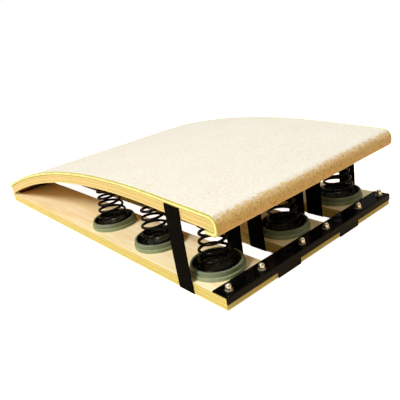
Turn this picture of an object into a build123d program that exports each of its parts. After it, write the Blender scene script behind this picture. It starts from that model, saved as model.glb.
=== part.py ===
"""Vaulting springboard: three base planks, nine conical springs and one curved, padded deck.

Millimetres. +X runs from the low end to the nose, +Y across the width, +Z up.
The origin is on the floor, under the middle of the board.
"""

import os
from math import atan, cos, degrees, radians, sin, sqrt

from build123d import *

# ---- driving dimensions -------------------------------------------------------------------------
OVERALL_LENGTH = 1208.0     # low end of the carpet to the front of the padded nose
LOW_END_INSET = 2.0         # planks start this far inside the carpet's low corner
NOSE_REACH = 6.0            # nose ahead of the tie bar

PLANK_WIDTH = 150.0
PLANK_GAP = 75.0
PLANK_THICKNESS = 28.0
PAD_THICKNESS = 3.0         # rubber anti-slip pads under the planks
PAD_LENGTH = 60.0
PAD_WIDTH = 40.0
PAD_END_MARGIN = 30.0       # low pads from the ends of the planks
PAD_BOLT_MARGIN = 4.0       # high pads from the bolt heads

DECK_THICKNESS = 25.0
LOW_SLOPE = 19.7            # degrees, deck rising at its low end
NOSE_SLOPE = 2.5            # degrees, deck falling at its nose
NOSE_RUN = 190.0            # straight stretch behind the nose
NOSE_TOP_RADIUS = 14.0
NOSE_LOW_RADIUS = 4.0
FOAM_THICKNESS = 5.0
CARPET_THICKNESS = 4.5
NOSE_WRAP = 26.0            # padding carried back under the nose
BINDING_THICKNESS = 2.4

ROW_PITCH = 223.5

CUP_WALL = 6.0
CUP_LEDGE = 3.5             # flange outside the wall
CUP_FLANGE_THICKNESS = 9.0
CUP_HEIGHT = 20.0
CUP_FLOOR = 3.0
DISC_RADIUS = 30.0
DISC_THICKNESS = 4.0

WIRE_RADIUS = 3.5
COIL_LOW_RADIUS = 42.5      # wire centre of the lowest turn
COIL_TOP_RADIUS = 28.5
COIL_TURNS = 6.5
SEAT_RIM = 0.5              # seat outside the top turn
SEAT_THICKNESS = 7.0
SEAT_BOSS_HEIGHT = 9.0

CLAMP_BOLT_RADIUS = 4.0     # M8, through planks, cups and tie bar
BOLT_HEAD_RADIUS = 10.0
BOLT_HEAD_HEIGHT = 3.5
NUT_ACROSS_FLATS = 13.0
NUT_HEIGHT = 6.5
DOME_NUT_HEXAGON = 8.0      # height of a dome nut below its dome
WASHER_RADIUS = 9.0
WASHER_THICKNESS = 1.6

BAR_WIDTH = 44.0
BAR_SHEET = 3.0
BAR_LIP_HEIGHT = 14.0       # how far the lip hangs over the plank ends
BAR_CORNER_RADIUS = 2.5
BAR_BOLT_SETBACK = 18.0     # bolt line to the front of the bar
BAR_BOLT_OFFSET = 45.0      # two bolts a plank, each side of its middle
BAR_END_BOLT_OFFSET = 52.0  # the bolt nearest each end of the bar, from its plank's middle

STRAP_WIDTH = 50.0
STRAP_THICKNESS = 2.0
STRAP_FROM_NOSE_END = 131.0

HINGE_LENGTH = 110.0
HINGE_KNUCKLES = 5
KNUCKLE_RADIUS = 3.2
PIN_RADIUS = 1.6
PIN_HEAD_RADIUS = 2.8
PIN_HEAD_LENGTH = 1.5
LEAF_THICKNESS = 1.6
LEAF_LENGTH = 28.0
LEAF_SCREW_SETBACK = 17.0   # screws from the pin's axis
LEAF_SCREW_SPACING = 40.0
SHIM_LENGTH = 24.0          # wooden shims beside the hinges, from the planks' low end
SHIM_THICKNESS = 3.0

SCREW_RADIUS = 1.6
SCREW_HEAD_RADIUS = 3.0
SCREW_BITE = 12.0           # length of a hinge screw inside the wood
SEAT_SCREW_RADIUS = 2.5
SEAT_SCREW_HEAD_RADIUS = 7.0
SEAT_SCREW_HEAD_HEIGHT = 3.0
SEAT_SCREW_BITE = 16.0      # length of a seat screw inside the deck

# ---- clearances ---------------------------------------------------------------------------------
BOLT_CLEARANCE = 0.3        # radial, bolt in a drilled hole
HEAD_CLEARANCE = 2.0        # radial, bolt head in its counterbore
HEAD_RECESS = 1.5           # bolt head above the plank's underside
CUP_COIL_GAP = 8.0          # radial, lowest turn inside its cup
CUP_BAR_GAP = 1.0           # last row of cups to the tie bar
PIN_CLEARANCE = 0.05        # radial, hinge pin in its knuckles
LEAF_GAP = 0.6              # between the two leaves at the deck's low corner
KNUCKLE_DECK_GAP = 1.5      # knuckles clear of the deck's low end
KNUCKLE_GAP = 0.6           # between neighbouring knuckles
KNUCKLE_LIFT = 0.4          # knuckles clear of the plank
SHIM_PIN_GAP = 1.0          # shims to the heads of the hinge pins
LEAF_CUT_BACK = 1.6         # leaf cleared from the other leaf's knuckles
STRAP_CLEARANCE = 0.4       # webbing to the deck
SPRING_CLEARANCE = 0.3      # spring wire to cup floor and seat
COIL_CLEARANCE = 0.8        # radial, seat boss inside the top turn
SCREW_CLEARANCE = 0.1       # radial, screw head in its countersink
PLANK_FIT = 0.2             # plank end to the tie bar's lip

# ---- layout worked out from the above -----------------------------------------------------------
LOW_X = -OVERALL_LENGTH / 2
FRONT_X = OVERALL_LENGTH / 2
PLANK_LOW_X = LOW_X + LOW_END_INSET
HIGH_X = FRONT_X - NOSE_REACH
PLANK_END_X = HIGH_X - BAR_SHEET - PLANK_FIT
WIDTH = 3 * PLANK_WIDTH + 2 * PLANK_GAP
PLANK_PITCH = PLANK_WIDTH + PLANK_GAP
LANES = {"near": -PLANK_PITCH, "middle": 0.0, "far": PLANK_PITCH}

PLANK_BOTTOM = PAD_THICKNESS
PLANK_TOP = PLANK_BOTTOM + PLANK_THICKNESS
CUP_INNER_RADIUS = COIL_LOW_RADIUS + WIRE_RADIUS + CUP_COIL_GAP
CUP_WALL_RADIUS = CUP_INNER_RADIUS + CUP_WALL
CUP_FLANGE_RADIUS = CUP_WALL_RADIUS + CUP_LEDGE
ROW_HIGH_X = HIGH_X - BAR_WIDTH - CUP_BAR_GAP - CUP_FLANGE_RADIUS
ROWS = {"low": ROW_HIGH_X - 2 * ROW_PITCH, "mid": ROW_HIGH_X - ROW_PITCH, "high": ROW_HIGH_X}
STATIONS = {
    f"{row}_{lane}": (x, y) for row, x in ROWS.items() for lane, y in LANES.items()
}
SKIN_THICKNESS = FOAM_THICKNESS + CARPET_THICKNESS

# The deck's underside is an arc from the low end to the straight run behind the nose. Its radius
# follows from the length, the two end slopes and the straight run.
LOW_ANGLE = radians(LOW_SLOPE)
NOSE_ANGLE = radians(-NOSE_SLOPE)
STACK = DECK_THICKNESS + SKIN_THICKNESS
CORNER_X = LOW_X + STACK * sin(LOW_ANGLE)
CORNER_Z = PLANK_TOP + 2 * LEAF_THICKNESS + LEAF_GAP
NOSE_CENTRE_HEIGHT = DECK_THICKNESS - NOSE_TOP_RADIUS
NOSE_CENTRE_X = FRONT_X - SKIN_THICKNESS - NOSE_TOP_RADIUS
ARC_END_X = NOSE_CENTRE_X - NOSE_RUN
UNDER_RADIUS = (ARC_END_X - CORNER_X + NOSE_CENTRE_HEIGHT * sin(NOSE_ANGLE)) / (
    sin(LOW_ANGLE) - sin(NOSE_ANGLE)
)
ARC_X = CORNER_X + UNDER_RADIUS * sin(LOW_ANGLE)
ARC_Z = CORNER_Z - UNDER_RADIUS * cos(LOW_ANGLE)


def on_arc(angle, height):
    """Point on the curved deck where it slopes up at angle, at a height above its underside."""
    radius = UNDER_RADIUS + height
    return Vector(ARC_X - radius * sin(angle), ARC_Z + radius * cos(angle))


def on_nose(run, height):
    """Point on the straight stretch, run past the end of the arc."""
    start = on_arc(NOSE_ANGLE, height)
    return Vector(start.X + run * cos(NOSE_ANGLE), start.Y + run * sin(NOSE_ANGLE))


def deck_height(x, height=0.0):
    """Z of the line at a height above the deck's underside, over a place x along the board."""
    arc_end = on_arc(NOSE_ANGLE, height)
    if x > arc_end.X:
        return arc_end.Y + (x - arc_end.X) * sin(NOSE_ANGLE) / cos(NOSE_ANGLE)
    return ARC_Z + sqrt((UNDER_RADIUS + height) ** 2 - (x - ARC_X) ** 2)


TOP_CORNER_RUN = (NOSE_CENTRE_X - on_arc(NOSE_ANGLE, NOSE_CENTRE_HEIGHT).X) / cos(NOSE_ANGLE)
NOSE_END_RUN = TOP_CORNER_RUN + NOSE_TOP_RADIUS
LOW_CORNER_RUN = NOSE_END_RUN - NOSE_LOW_RADIUS
WRAP_END_RUN = NOSE_END_RUN - NOSE_WRAP


def nose_arc(centre_run, centre_height, radius, start):
    """Quarter turn round the nose, from the angle start down by 90 degrees."""
    ends = [radians(start - turn) for turn in (0, 45, 90)]
    ThreePointArc(*[on_nose(centre_run + radius * cos(a), centre_height + radius * sin(a)) for a in ends])


def top_line(offset):
    """Line along the top of the deck and round its nose, at an offset outside the plywood."""
    height = DECK_THICKNESS + offset
    middle = (LOW_ANGLE + NOSE_ANGLE) / 2
    ThreePointArc(on_arc(LOW_ANGLE, height), on_arc(middle, height), on_arc(NOSE_ANGLE, height))
    Line(on_arc(NOSE_ANGLE, height), on_nose(TOP_CORNER_RUN, height))
    nose_arc(TOP_CORNER_RUN, NOSE_CENTRE_HEIGHT, NOSE_TOP_RADIUS + offset, 90)
    Line(on_nose(NOSE_END_RUN + offset, NOSE_CENTRE_HEIGHT), on_nose(NOSE_END_RUN + offset, NOSE_LOW_RADIUS))
    nose_arc(LOW_CORNER_RUN, NOSE_LOW_RADIUS, NOSE_LOW_RADIUS + offset, 0)


def skin_profile(inside, outside):
    """Closed outline of a layer that lies on the deck and wraps under its nose."""
    top_line(outside)
    Line(on_nose(LOW_CORNER_RUN, -outside), on_nose(WRAP_END_RUN, -outside))
    Line(on_nose(WRAP_END_RUN, -outside), on_nose(WRAP_END_RUN, -inside))
    Line(on_nose(WRAP_END_RUN, -inside), on_nose(LOW_CORNER_RUN, -inside))
    top_line(inside)
    Line(on_arc(LOW_ANGLE, DECK_THICKNESS + inside), on_arc(LOW_ANGLE, DECK_THICKNESS + outside))


def underside_line():
    """Line along the deck's underside from its low corner to its rounded nose."""
    middle = (LOW_ANGLE + NOSE_ANGLE) / 2
    ThreePointArc(on_arc(LOW_ANGLE, 0), on_arc(middle, 0), on_arc(NOSE_ANGLE, 0))
    Line(on_arc(NOSE_ANGLE, 0), on_nose(LOW_CORNER_RUN, 0))


def across(half_width=WIDTH / 2):
    """Extrude the pending profile evenly to both sides of the centre line."""
    extrude(amount=half_width, both=True)


def save(piece, name):
    piece.part.label = name
    export_step(piece.part, f"parts/{name}.step")


os.makedirs("parts", exist_ok=True)

# ---- base planks and their pads -----------------------------------------------------------------
BAR_BOLT_X = HIGH_X - BAR_BOLT_SETBACK
BOLT_HOLE_RADIUS = CLAMP_BOLT_RADIUS + BOLT_CLEARANCE
COUNTERBORE_RADIUS = BOLT_HEAD_RADIUS + HEAD_CLEARANCE
COUNTERBORE_DEPTH = BOLT_HEAD_HEIGHT + HEAD_RECESS


def bar_bolt_places(y):
    """The two bolts joining the tie bar to the plank at y."""
    near = BAR_END_BOLT_OFFSET if y < 0 else BAR_BOLT_OFFSET
    far = BAR_END_BOLT_OFFSET if y > 0 else BAR_BOLT_OFFSET
    return [(BAR_BOLT_X, y - near), (BAR_BOLT_X, y + far)]


def bolt_places(y):
    """Every bolt through the plank at y: one in each cup and two in the tie bar."""
    return [(x, y) for x in ROWS.values()] + bar_bolt_places(y)


# The hinge's pin lies along Y just outside the deck's low end, above the plank ends.
PIN_Z = PLANK_TOP + KNUCKLE_RADIUS + KNUCKLE_LIFT
PIN_TO_CORNER = KNUCKLE_RADIUS + KNUCKLE_DECK_GAP
PIN_X = CORNER_X - (PIN_TO_CORNER - (CORNER_Z - PIN_Z) * sin(LOW_ANGLE)) / cos(LOW_ANGLE)
DECK_SCREW_ANGLE = LOW_ANGLE - (LEAF_SCREW_SETBACK - PIN_TO_CORNER) / UNDER_RADIUS
SCREW_ROW = [-LEAF_SCREW_SPACING, 0.0, LEAF_SCREW_SPACING]
BASE_UP = (Align.CENTER, Align.CENTER, Align.MIN)
TOP_DOWN = (Align.CENTER, Align.CENTER, Align.MAX)


def plank_screw_planes(y):
    """Where the lower leaf's screws enter the plank at y, facing out of the wood."""
    x = PIN_X + LEAF_SCREW_SETBACK
    return [Plane(origin=(x, y + offset, PLANK_TOP)) for offset in SCREW_ROW]


def deck_screw_planes(y):
    """Where the upper leaf's screws enter the deck over the plank at y, facing out of the wood."""
    place = on_arc(DECK_SCREW_ANGLE, 0)
    outward = (sin(DECK_SCREW_ANGLE), 0, -cos(DECK_SCREW_ANGLE))
    return [Plane(origin=(place.X, y + offset, place.Y), x_dir=(0, 1, 0), z_dir=outward)
            for offset in SCREW_ROW]


for lane, y in LANES.items():
    with BuildPart() as plank:
        with BuildSketch(Plane.XY.offset(PLANK_BOTTOM)):
            with Locations(((PLANK_LOW_X + PLANK_END_X) / 2, y)):
                Rectangle(PLANK_END_X - PLANK_LOW_X, PLANK_WIDTH)
        extrude(amount=PLANK_THICKNESS)
        with BuildSketch(Plane.XY.offset(PLANK_BOTTOM)):
            with Locations(*bolt_places(y)):
                Circle(BOLT_HOLE_RADIUS)
        extrude(amount=PLANK_THICKNESS, mode=Mode.SUBTRACT)
        with BuildSketch(Plane.XY.offset(PLANK_BOTTOM)):
            with Locations(*bolt_places(y)):
                Circle(COUNTERBORE_RADIUS)
        extrude(amount=COUNTERBORE_DEPTH, mode=Mode.SUBTRACT)
        with Locations(*plank_screw_planes(y)):
            Cylinder(SCREW_RADIUS, SCREW_BITE, align=TOP_DOWN, mode=Mode.SUBTRACT)
    save(plank, f"plank_{lane}")

PAD_PLACES = [
    PLANK_LOW_X + PAD_END_MARGIN + PAD_LENGTH / 2,
    0.0,
    BAR_BOLT_X - COUNTERBORE_RADIUS - PAD_BOLT_MARGIN - PAD_LENGTH / 2,
]
with BuildPart() as grip_pads:
    with BuildSketch():
        with Locations(*[(x, y) for x in PAD_PLACES for y in LANES.values()]):
            RectangleRounded(PAD_LENGTH, PAD_WIDTH, PAD_WIDTH / 4)
    extrude(amount=PAD_THICKNESS)
save(grip_pads, "grip_pads")

SHIM_WIDTH = (PLANK_WIDTH - HINGE_LENGTH) / 2 - PIN_HEAD_LENGTH - SHIM_PIN_GAP
with BuildPart() as hinge_shims:
    with BuildSketch(Plane.XY.offset(PLANK_TOP)):
        offset = (PLANK_WIDTH - SHIM_WIDTH) / 2
        with Locations(*[(PLANK_LOW_X + SHIM_LENGTH / 2, y + side * offset)
                         for y in LANES.values() for side in (-1, 1)]):
            Rectangle(SHIM_LENGTH, SHIM_WIDTH)
    extrude(amount=SHIM_THICKNESS)
save(hinge_shims, "hinge_shims")

# ---- tie bar across the high end ----------------------------------------------------------------
BAR_TOP = PLANK_TOP + BAR_SHEET
BAR_BOLTS = [place for y in LANES.values() for place in bar_bolt_places(y)]

with BuildPart() as tie_bar:
    with BuildSketch(Plane.XY.offset(PLANK_TOP)):
        with Locations((HIGH_X - BAR_WIDTH / 2, 0)):
            Rectangle(BAR_WIDTH, WIDTH)
    extrude(amount=BAR_SHEET)
    with BuildSketch(Plane.XY.offset(PLANK_TOP - BAR_LIP_HEIGHT)):
        with Locations((HIGH_X - BAR_SHEET / 2, 0)):
            Rectangle(BAR_SHEET, WIDTH)
    extrude(amount=BAR_LIP_HEIGHT)
    with BuildSketch(Plane.XY.offset(PLANK_BOTTOM)):
        with Locations(*[(HIGH_X - BAR_SHEET / 2, side * PLANK_PITCH / 2) for side in (-1, 1)]):
            Rectangle(BAR_SHEET, PLANK_GAP)
    extrude(amount=PLANK_THICKNESS - BAR_LIP_HEIGHT)
    with BuildSketch(Plane.XY.offset(PLANK_TOP)):
        with Locations(*BAR_BOLTS):
            Circle(BOLT_HOLE_RADIUS)
    extrude(amount=BAR_SHEET, mode=Mode.SUBTRACT)
    front_corners = tie_bar.edges().filter_by(Axis.Z).group_by(Axis.X)[-1].sort_by(Axis.Y)
    fillet([front_corners[0], front_corners[-1]], BAR_CORNER_RADIUS)
    front_edge = tie_bar.edges().filter_by(Axis.Y).group_by(Axis.Z)[-1].sort_by(Axis.X)[-1]
    fillet(front_edge, BAR_SHEET * 0.8)
save(tie_bar, "tie_bar")


def carriage_bolts(places, end_z):
    """Round-headed bolts from under the planks up to end_z."""
    head_z = PLANK_BOTTOM + COUNTERBORE_DEPTH - BOLT_HEAD_HEIGHT
    with BuildPart() as bolts:
        with BuildSketch(Plane.XY.offset(head_z)):
            with Locations(*places):
                Circle(BOLT_HEAD_RADIUS)
        extrude(amount=BOLT_HEAD_HEIGHT)
        chamfer(bolts.faces().sort_by(Axis.Z)[0 : len(places)].edges(), BOLT_HEAD_HEIGHT / 2)
        with BuildSketch(Plane.XY.offset(head_z + BOLT_HEAD_HEIGHT)):
            with Locations(*places):
                Circle(CLAMP_BOLT_RADIUS)
        extrude(amount=end_z - head_z - BOLT_HEAD_HEIGHT)
    return bolts


def rings(places, base_z, outside, inside, height):
    """Flat rings standing on base_z."""
    with BuildPart() as stack:
        with BuildSketch(Plane.XY.offset(base_z)):
            with Locations(*places):
                Circle(outside)
                Circle(inside, mode=Mode.SUBTRACT)
        extrude(amount=height)
    return stack


DOME_BASE = BAR_TOP + WASHER_THICKNESS
BAR_BOLT_END = DOME_BASE + DOME_NUT_HEXAGON

save(carriage_bolts(BAR_BOLTS, BAR_BOLT_END), "tie_bar_bolts")
save(rings(BAR_BOLTS, BAR_TOP, WASHER_RADIUS, BOLT_HOLE_RADIUS, WASHER_THICKNESS), "tie_bar_washers")

NUT_CORNER_RADIUS = NUT_ACROSS_FLATS / sqrt(3)
DOME_RADIUS = NUT_ACROSS_FLATS / 2
with BuildPart() as dome_nuts:
    with BuildSketch(Plane.XY.offset(DOME_BASE)):
        with Locations(*BAR_BOLTS):
            RegularPolygon(NUT_CORNER_RADIUS, 6)
    extrude(amount=DOME_NUT_HEXAGON)
    with Locations(*[(x, y, BAR_BOLT_END) for x, y in BAR_BOLTS]):
        Sphere(DOME_RADIUS, arc_size1=0, arc_size2=90, align=BASE_UP)
    with BuildSketch(Plane.XY.offset(DOME_BASE)):
        with Locations(*BAR_BOLTS):
            Circle(CLAMP_BOLT_RADIUS)
    extrude(amount=DOME_NUT_HEXAGON, mode=Mode.SUBTRACT)
save(dome_nuts, "tie_bar_dome_nuts")

# ---- spring cups on the planks ------------------------------------------------------------------
CUP_FLOOR_Z = PLANK_TOP + CUP_FLOOR
DISC_TOP = CUP_FLOOR_Z + DISC_THICKNESS
CUP_PLACES = list(STATIONS.values())

for station, (x, y) in STATIONS.items():
    with BuildPart() as cup:
        with BuildSketch(Plane.XZ.offset(-y)):
            with BuildLine():
                Polyline(
                    (x + BOLT_HOLE_RADIUS, PLANK_TOP),
                    (x + CUP_FLANGE_RADIUS, PLANK_TOP),
                    (x + CUP_FLANGE_RADIUS, PLANK_TOP + CUP_FLANGE_THICKNESS),
                    (x + CUP_WALL_RADIUS, PLANK_TOP + CUP_FLANGE_THICKNESS),
                    (x + CUP_WALL_RADIUS, PLANK_TOP + CUP_HEIGHT),
                    (x + CUP_INNER_RADIUS, PLANK_TOP + CUP_HEIGHT),
                    (x + CUP_INNER_RADIUS, CUP_FLOOR_Z),
                    (x + BOLT_HOLE_RADIUS, CUP_FLOOR_Z),
                    close=True,
                )
            make_face()
        revolve(axis=Axis((x, y, 0), (0, 0, 1)))
        rims = cup.edges().filter_by(GeomType.CIRCLE)
        fillet(rims.group_by(Axis.Z)[-1], (CUP_WALL_RADIUS - CUP_INNER_RADIUS) * 0.4)
        flange_rims = rims.filter_by(lambda rim: abs(rim.radius - CUP_FLANGE_RADIUS) < 0.01)
        fillet(flange_rims.sort_by(Axis.Z)[-1], 2.0)
    save(cup, f"spring_cup_{station}")

CUP_NUT_TOP = DISC_TOP + NUT_HEIGHT
save(rings(CUP_PLACES, CUP_FLOOR_Z, DISC_RADIUS, BOLT_HOLE_RADIUS, DISC_THICKNESS), "cup_floor_discs")
save(carriage_bolts(CUP_PLACES, CUP_NUT_TOP + CLAMP_BOLT_RADIUS), "cup_bolts")

with BuildPart() as cup_nuts:
    with BuildSketch(Plane.XY.offset(DISC_TOP)):
        with Locations(*CUP_PLACES):
            RegularPolygon(NUT_CORNER_RADIUS, 6)
            Circle(CLAMP_BOLT_RADIUS, mode=Mode.SUBTRACT)
    extrude(amount=NUT_HEIGHT)
save(cup_nuts, "cup_nuts")

# ---- conical springs ----------------------------------------------------------------------------
COIL_START_Z = CUP_FLOOR_Z + SPRING_CLEARANCE + WIRE_RADIUS
SEAT_RADIUS = COIL_TOP_RADIUS + WIRE_RADIUS + SEAT_RIM


def seat_bottom(x):
    """Underside of the seat over x, level, below the lowest point of the deck over the seat."""
    edges = (x - SEAT_RADIUS, x + SEAT_RADIUS)
    return min(deck_height(edge) for edge in edges) - SEAT_THICKNESS


for station, (x, y) in STATIONS.items():
    coil_rise = seat_bottom(x) - SPRING_CLEARANCE - WIRE_RADIUS - COIL_START_Z
    coil_taper = degrees(atan((COIL_LOW_RADIUS - COIL_TOP_RADIUS) / coil_rise))
    with BuildPart() as spring:
        with BuildLine() as coil:
            Helix(coil_rise / COIL_TURNS, coil_rise, COIL_LOW_RADIUS,
                  center=(x, y, COIL_START_Z), cone_angle=-coil_taper)
        with BuildSketch(Plane(origin=coil.line @ 0, z_dir=coil.line % 0)):
            Circle(WIRE_RADIUS)
        sweep(is_frenet=True)
    save(spring, f"spring_{station}")

# ---- webbing straps, each a closed loop round a plank and the deck -------------------------------
STRAP_X = HIGH_X - STRAP_FROM_NOSE_END
STRAP_LOW_X = STRAP_X - STRAP_WIDTH / 2
STRAP_HIGH_X = STRAP_X + STRAP_WIDTH / 2
STRAP_SIDE = PLANK_WIDTH / 2 + STRAP_CLEARANCE
RECESS_DEPTH = STRAP_THICKNESS + 2 * STRAP_CLEARANCE


def strap_side_view(grow, low_x, high_x):
    """Outline of the loop seen from the side, its top following the deck."""
    floor_z = PLANK_BOTTOM - grow
    top = DECK_THICKNESS - RECESS_DEPTH + STRAP_CLEARANCE + grow
    Polyline(
        (low_x, floor_z),
        (high_x, floor_z),
        (high_x, deck_height(high_x, top)),
        (low_x, deck_height(low_x, top)),
        close=True,
    )


for lane, y in LANES.items():
    with BuildPart() as strap:
        with BuildSketch(Plane.XZ.offset(-y)):
            with BuildLine():
                strap_side_view(STRAP_THICKNESS, STRAP_LOW_X, STRAP_HIGH_X)
            make_face()
        extrude(amount=STRAP_SIDE + STRAP_THICKNESS, both=True)
        with BuildSketch(Plane.XZ.offset(-y)):
            with BuildLine():
                strap_side_view(0.0, STRAP_LOW_X - 1, STRAP_HIGH_X + 1)
            make_face()
        extrude(amount=STRAP_SIDE, both=True, mode=Mode.SUBTRACT)
    save(strap, f"strap_{lane}")

# ---- hinge under the low end --------------------------------------------------------------------
KNUCKLE_PITCH = HINGE_LENGTH / HINGE_KNUCKLES
LOWER_KNUCKLES = range(0, HINGE_KNUCKLES, 2)
UPPER_KNUCKLES = range(1, HINGE_KNUCKLES, 2)
NOTCH_DEPTH = PIN_TO_CORNER + LEAF_CUT_BACK
LEAF_END_ANGLE = LOW_ANGLE - (LEAF_LENGTH - PIN_TO_CORNER) / UNDER_RADIUS


def knuckle_middles(y, knuckles):
    """Y of the middle of each named knuckle, in the hinge at y."""
    return [y - HINGE_LENGTH / 2 + (index + 0.5) * KNUCKLE_PITCH for index in knuckles]


def add_knuckles(y, knuckles):
    """Barrels round the pin, at the named places along the hinge at y."""
    for middle in knuckle_middles(y, knuckles):
        with BuildSketch(Plane.XZ.offset(-middle)) as barrel:
            with Locations((PIN_X, PIN_Z)):
                Circle(KNUCKLE_RADIUS)
        extrude(barrel.sketch, amount=(KNUCKLE_PITCH - KNUCKLE_GAP) / 2, both=True)


def bore_for_pin(y):
    """Hole for the pin through every barrel of the hinge at y."""
    with BuildSketch(Plane.XZ.offset(-y)) as bore:
        with Locations((PIN_X, PIN_Z)):
            Circle(PIN_RADIUS + PIN_CLEARANCE)
    extrude(bore.sketch, amount=HINGE_LENGTH / 2, both=True, mode=Mode.SUBTRACT)


def notch(plane, y, knuckles):
    """Cut a leaf back from the pin on a plane whose x is along the leaf, beside other barrels."""
    with BuildSketch(plane) as notches:
        with Locations(*[(0, middle) for middle in knuckle_middles(y, knuckles)]):
            Rectangle(2 * NOTCH_DEPTH, KNUCKLE_PITCH + KNUCKLE_GAP)
    extrude(notches.sketch, amount=2 * KNUCKLE_RADIUS, both=True, mode=Mode.SUBTRACT)


def countersink(planes):
    """Tapered holes right through a leaf for screws entering the wood at the planes."""
    flare = (SCREW_HEAD_RADIUS - SCREW_RADIUS) / 2
    with Locations(*[plane.offset(-LEAF_THICKNESS / 2) for plane in planes]):
        Cone(SCREW_RADIUS + SCREW_CLEARANCE - flare, SCREW_HEAD_RADIUS + SCREW_CLEARANCE + flare,
             2 * LEAF_THICKNESS, align=BASE_UP, mode=Mode.SUBTRACT)


def countersunk_screws(planes):
    """Screws whose heads fill a leaf's countersinks."""
    with BuildPart() as screws:
        with Locations(*planes):
            Cone(SCREW_RADIUS, SCREW_HEAD_RADIUS, LEAF_THICKNESS, align=BASE_UP)
            Cylinder(SCREW_RADIUS, SCREW_BITE, align=TOP_DOWN)
    return screws


with BuildPart() as lower_leaves:
    for y in LANES.values():
        with BuildSketch(Plane.XZ.offset(-y)):
            with Locations((PIN_X + LEAF_LENGTH / 2, PLANK_TOP + LEAF_THICKNESS / 2)):
                Rectangle(LEAF_LENGTH, LEAF_THICKNESS)
        extrude(amount=HINGE_LENGTH / 2, both=True)
        notch(Plane(origin=(PIN_X, 0, PLANK_TOP)), y, UPPER_KNUCKLES)
        add_knuckles(y, LOWER_KNUCKLES)
        bore_for_pin(y)
        countersink(plank_screw_planes(y))
save(lower_leaves, "hinge_lower_leaves")

LEAF_SLOPE = Plane(
    origin=(PIN_X, 0, PIN_Z), x_dir=(cos(LOW_ANGLE), 0, sin(LOW_ANGLE)),
    z_dir=(-sin(LOW_ANGLE), 0, cos(LOW_ANGLE)),
)
PIN_FOOT = Vector(CORNER_X - PIN_TO_CORNER * cos(LOW_ANGLE), CORNER_Z - PIN_TO_CORNER * sin(LOW_ANGLE))
LEAF_DROP = Vector(LEAF_THICKNESS * sin(LOW_ANGLE), -LEAF_THICKNESS * cos(LOW_ANGLE))
with BuildPart() as upper_leaves:
    for y in LANES.values():
        with BuildSketch(Plane.XZ.offset(-y)):
            with BuildLine():
                middle = (LOW_ANGLE + LEAF_END_ANGLE) / 2
                for height in (0.0, -LEAF_THICKNESS):
                    ThreePointArc(on_arc(LOW_ANGLE, height), on_arc(middle, height),
                                  on_arc(LEAF_END_ANGLE, height))
                Line(on_arc(LEAF_END_ANGLE, 0), on_arc(LEAF_END_ANGLE, -LEAF_THICKNESS))
                Polyline(on_arc(LOW_ANGLE, 0), PIN_FOOT, PIN_FOOT + LEAF_DROP,
                         on_arc(LOW_ANGLE, -LEAF_THICKNESS))
            make_face()
        extrude(amount=HINGE_LENGTH / 2, both=True)
        notch(LEAF_SLOPE, y, LOWER_KNUCKLES)
        add_knuckles(y, UPPER_KNUCKLES)
        bore_for_pin(y)
        countersink(deck_screw_planes(y))
save(upper_leaves, "hinge_upper_leaves")

with BuildPart() as hinge_pins:
    for y in LANES.values():
        with BuildSketch(Plane.XZ.offset(-y)):
            with Locations((PIN_X, PIN_Z)):
                Circle(PIN_RADIUS)
        extrude(amount=HINGE_LENGTH / 2, both=True)
        for side in (-1, 1):
            with BuildSketch(Plane.XZ.offset(-y - side * (HINGE_LENGTH + PIN_HEAD_LENGTH) / 2)):
                with Locations((PIN_X, PIN_Z)):
                    Circle(PIN_HEAD_RADIUS)
            extrude(amount=PIN_HEAD_LENGTH / 2, both=True)
save(hinge_pins, "hinge_pins")

save(countersunk_screws([p for y in LANES.values() for p in plank_screw_planes(y)]), "hinge_lower_screws")
save(countersunk_screws([p for y in LANES.values() for p in deck_screw_planes(y)]), "hinge_upper_screws")

# ---- spring seats under the deck ----------------------------------------------------------------
BOSS_RADIUS = COIL_TOP_RADIUS - WIRE_RADIUS - COIL_CLEARANCE
SEAT_HOLE_RADIUS = SEAT_SCREW_RADIUS + BOLT_CLEARANCE

for station, (x, y) in STATIONS.items():
    with BuildPart() as seat:
        with BuildSketch(Plane.XY.offset(seat_bottom(x))):
            with Locations((x, y)):
                Circle(SEAT_RADIUS)
        extrude(amount=3 * SEAT_THICKNESS)
        with BuildSketch(Plane.XZ.offset(-y)):
            with BuildLine():
                underside_line()
                Polyline(
                    on_nose(LOW_CORNER_RUN, 0), on_nose(LOW_CORNER_RUN, OVERALL_LENGTH),
                    on_arc(LOW_ANGLE, OVERALL_LENGTH), on_arc(LOW_ANGLE, 0),
                )
            make_face()
        extrude(amount=SEAT_RADIUS, both=True, mode=Mode.SUBTRACT)
        with BuildSketch(Plane.XY.offset(seat_bottom(x))):
            with Locations((x, y)):
                Circle(BOSS_RADIUS)
        extrude(amount=-SEAT_BOSS_HEIGHT)
        with BuildSketch(Plane.XY.offset(seat_bottom(x) - SEAT_BOSS_HEIGHT)):
            with Locations((x, y)):
                Circle(SEAT_HOLE_RADIUS)
        extrude(amount=SEAT_BOSS_HEIGHT + 3 * SEAT_THICKNESS, mode=Mode.SUBTRACT)
    save(seat, f"spring_seat_{station}")

with BuildPart() as seat_screws:
    for x, y in STATIONS.values():
        head_z = seat_bottom(x) - SEAT_BOSS_HEIGHT
        with BuildSketch(Plane.XY.offset(head_z)):
            with Locations((x, y)):
                Circle(SEAT_SCREW_HEAD_RADIUS)
        extrude(amount=-SEAT_SCREW_HEAD_HEIGHT)
        with BuildSketch(Plane.XY.offset(head_z)):
            with Locations((x, y)):
                Circle(SEAT_SCREW_RADIUS)
        extrude(amount=deck_height(x) + SEAT_SCREW_BITE - head_z)
save(seat_screws, "spring_seat_screws")

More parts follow.
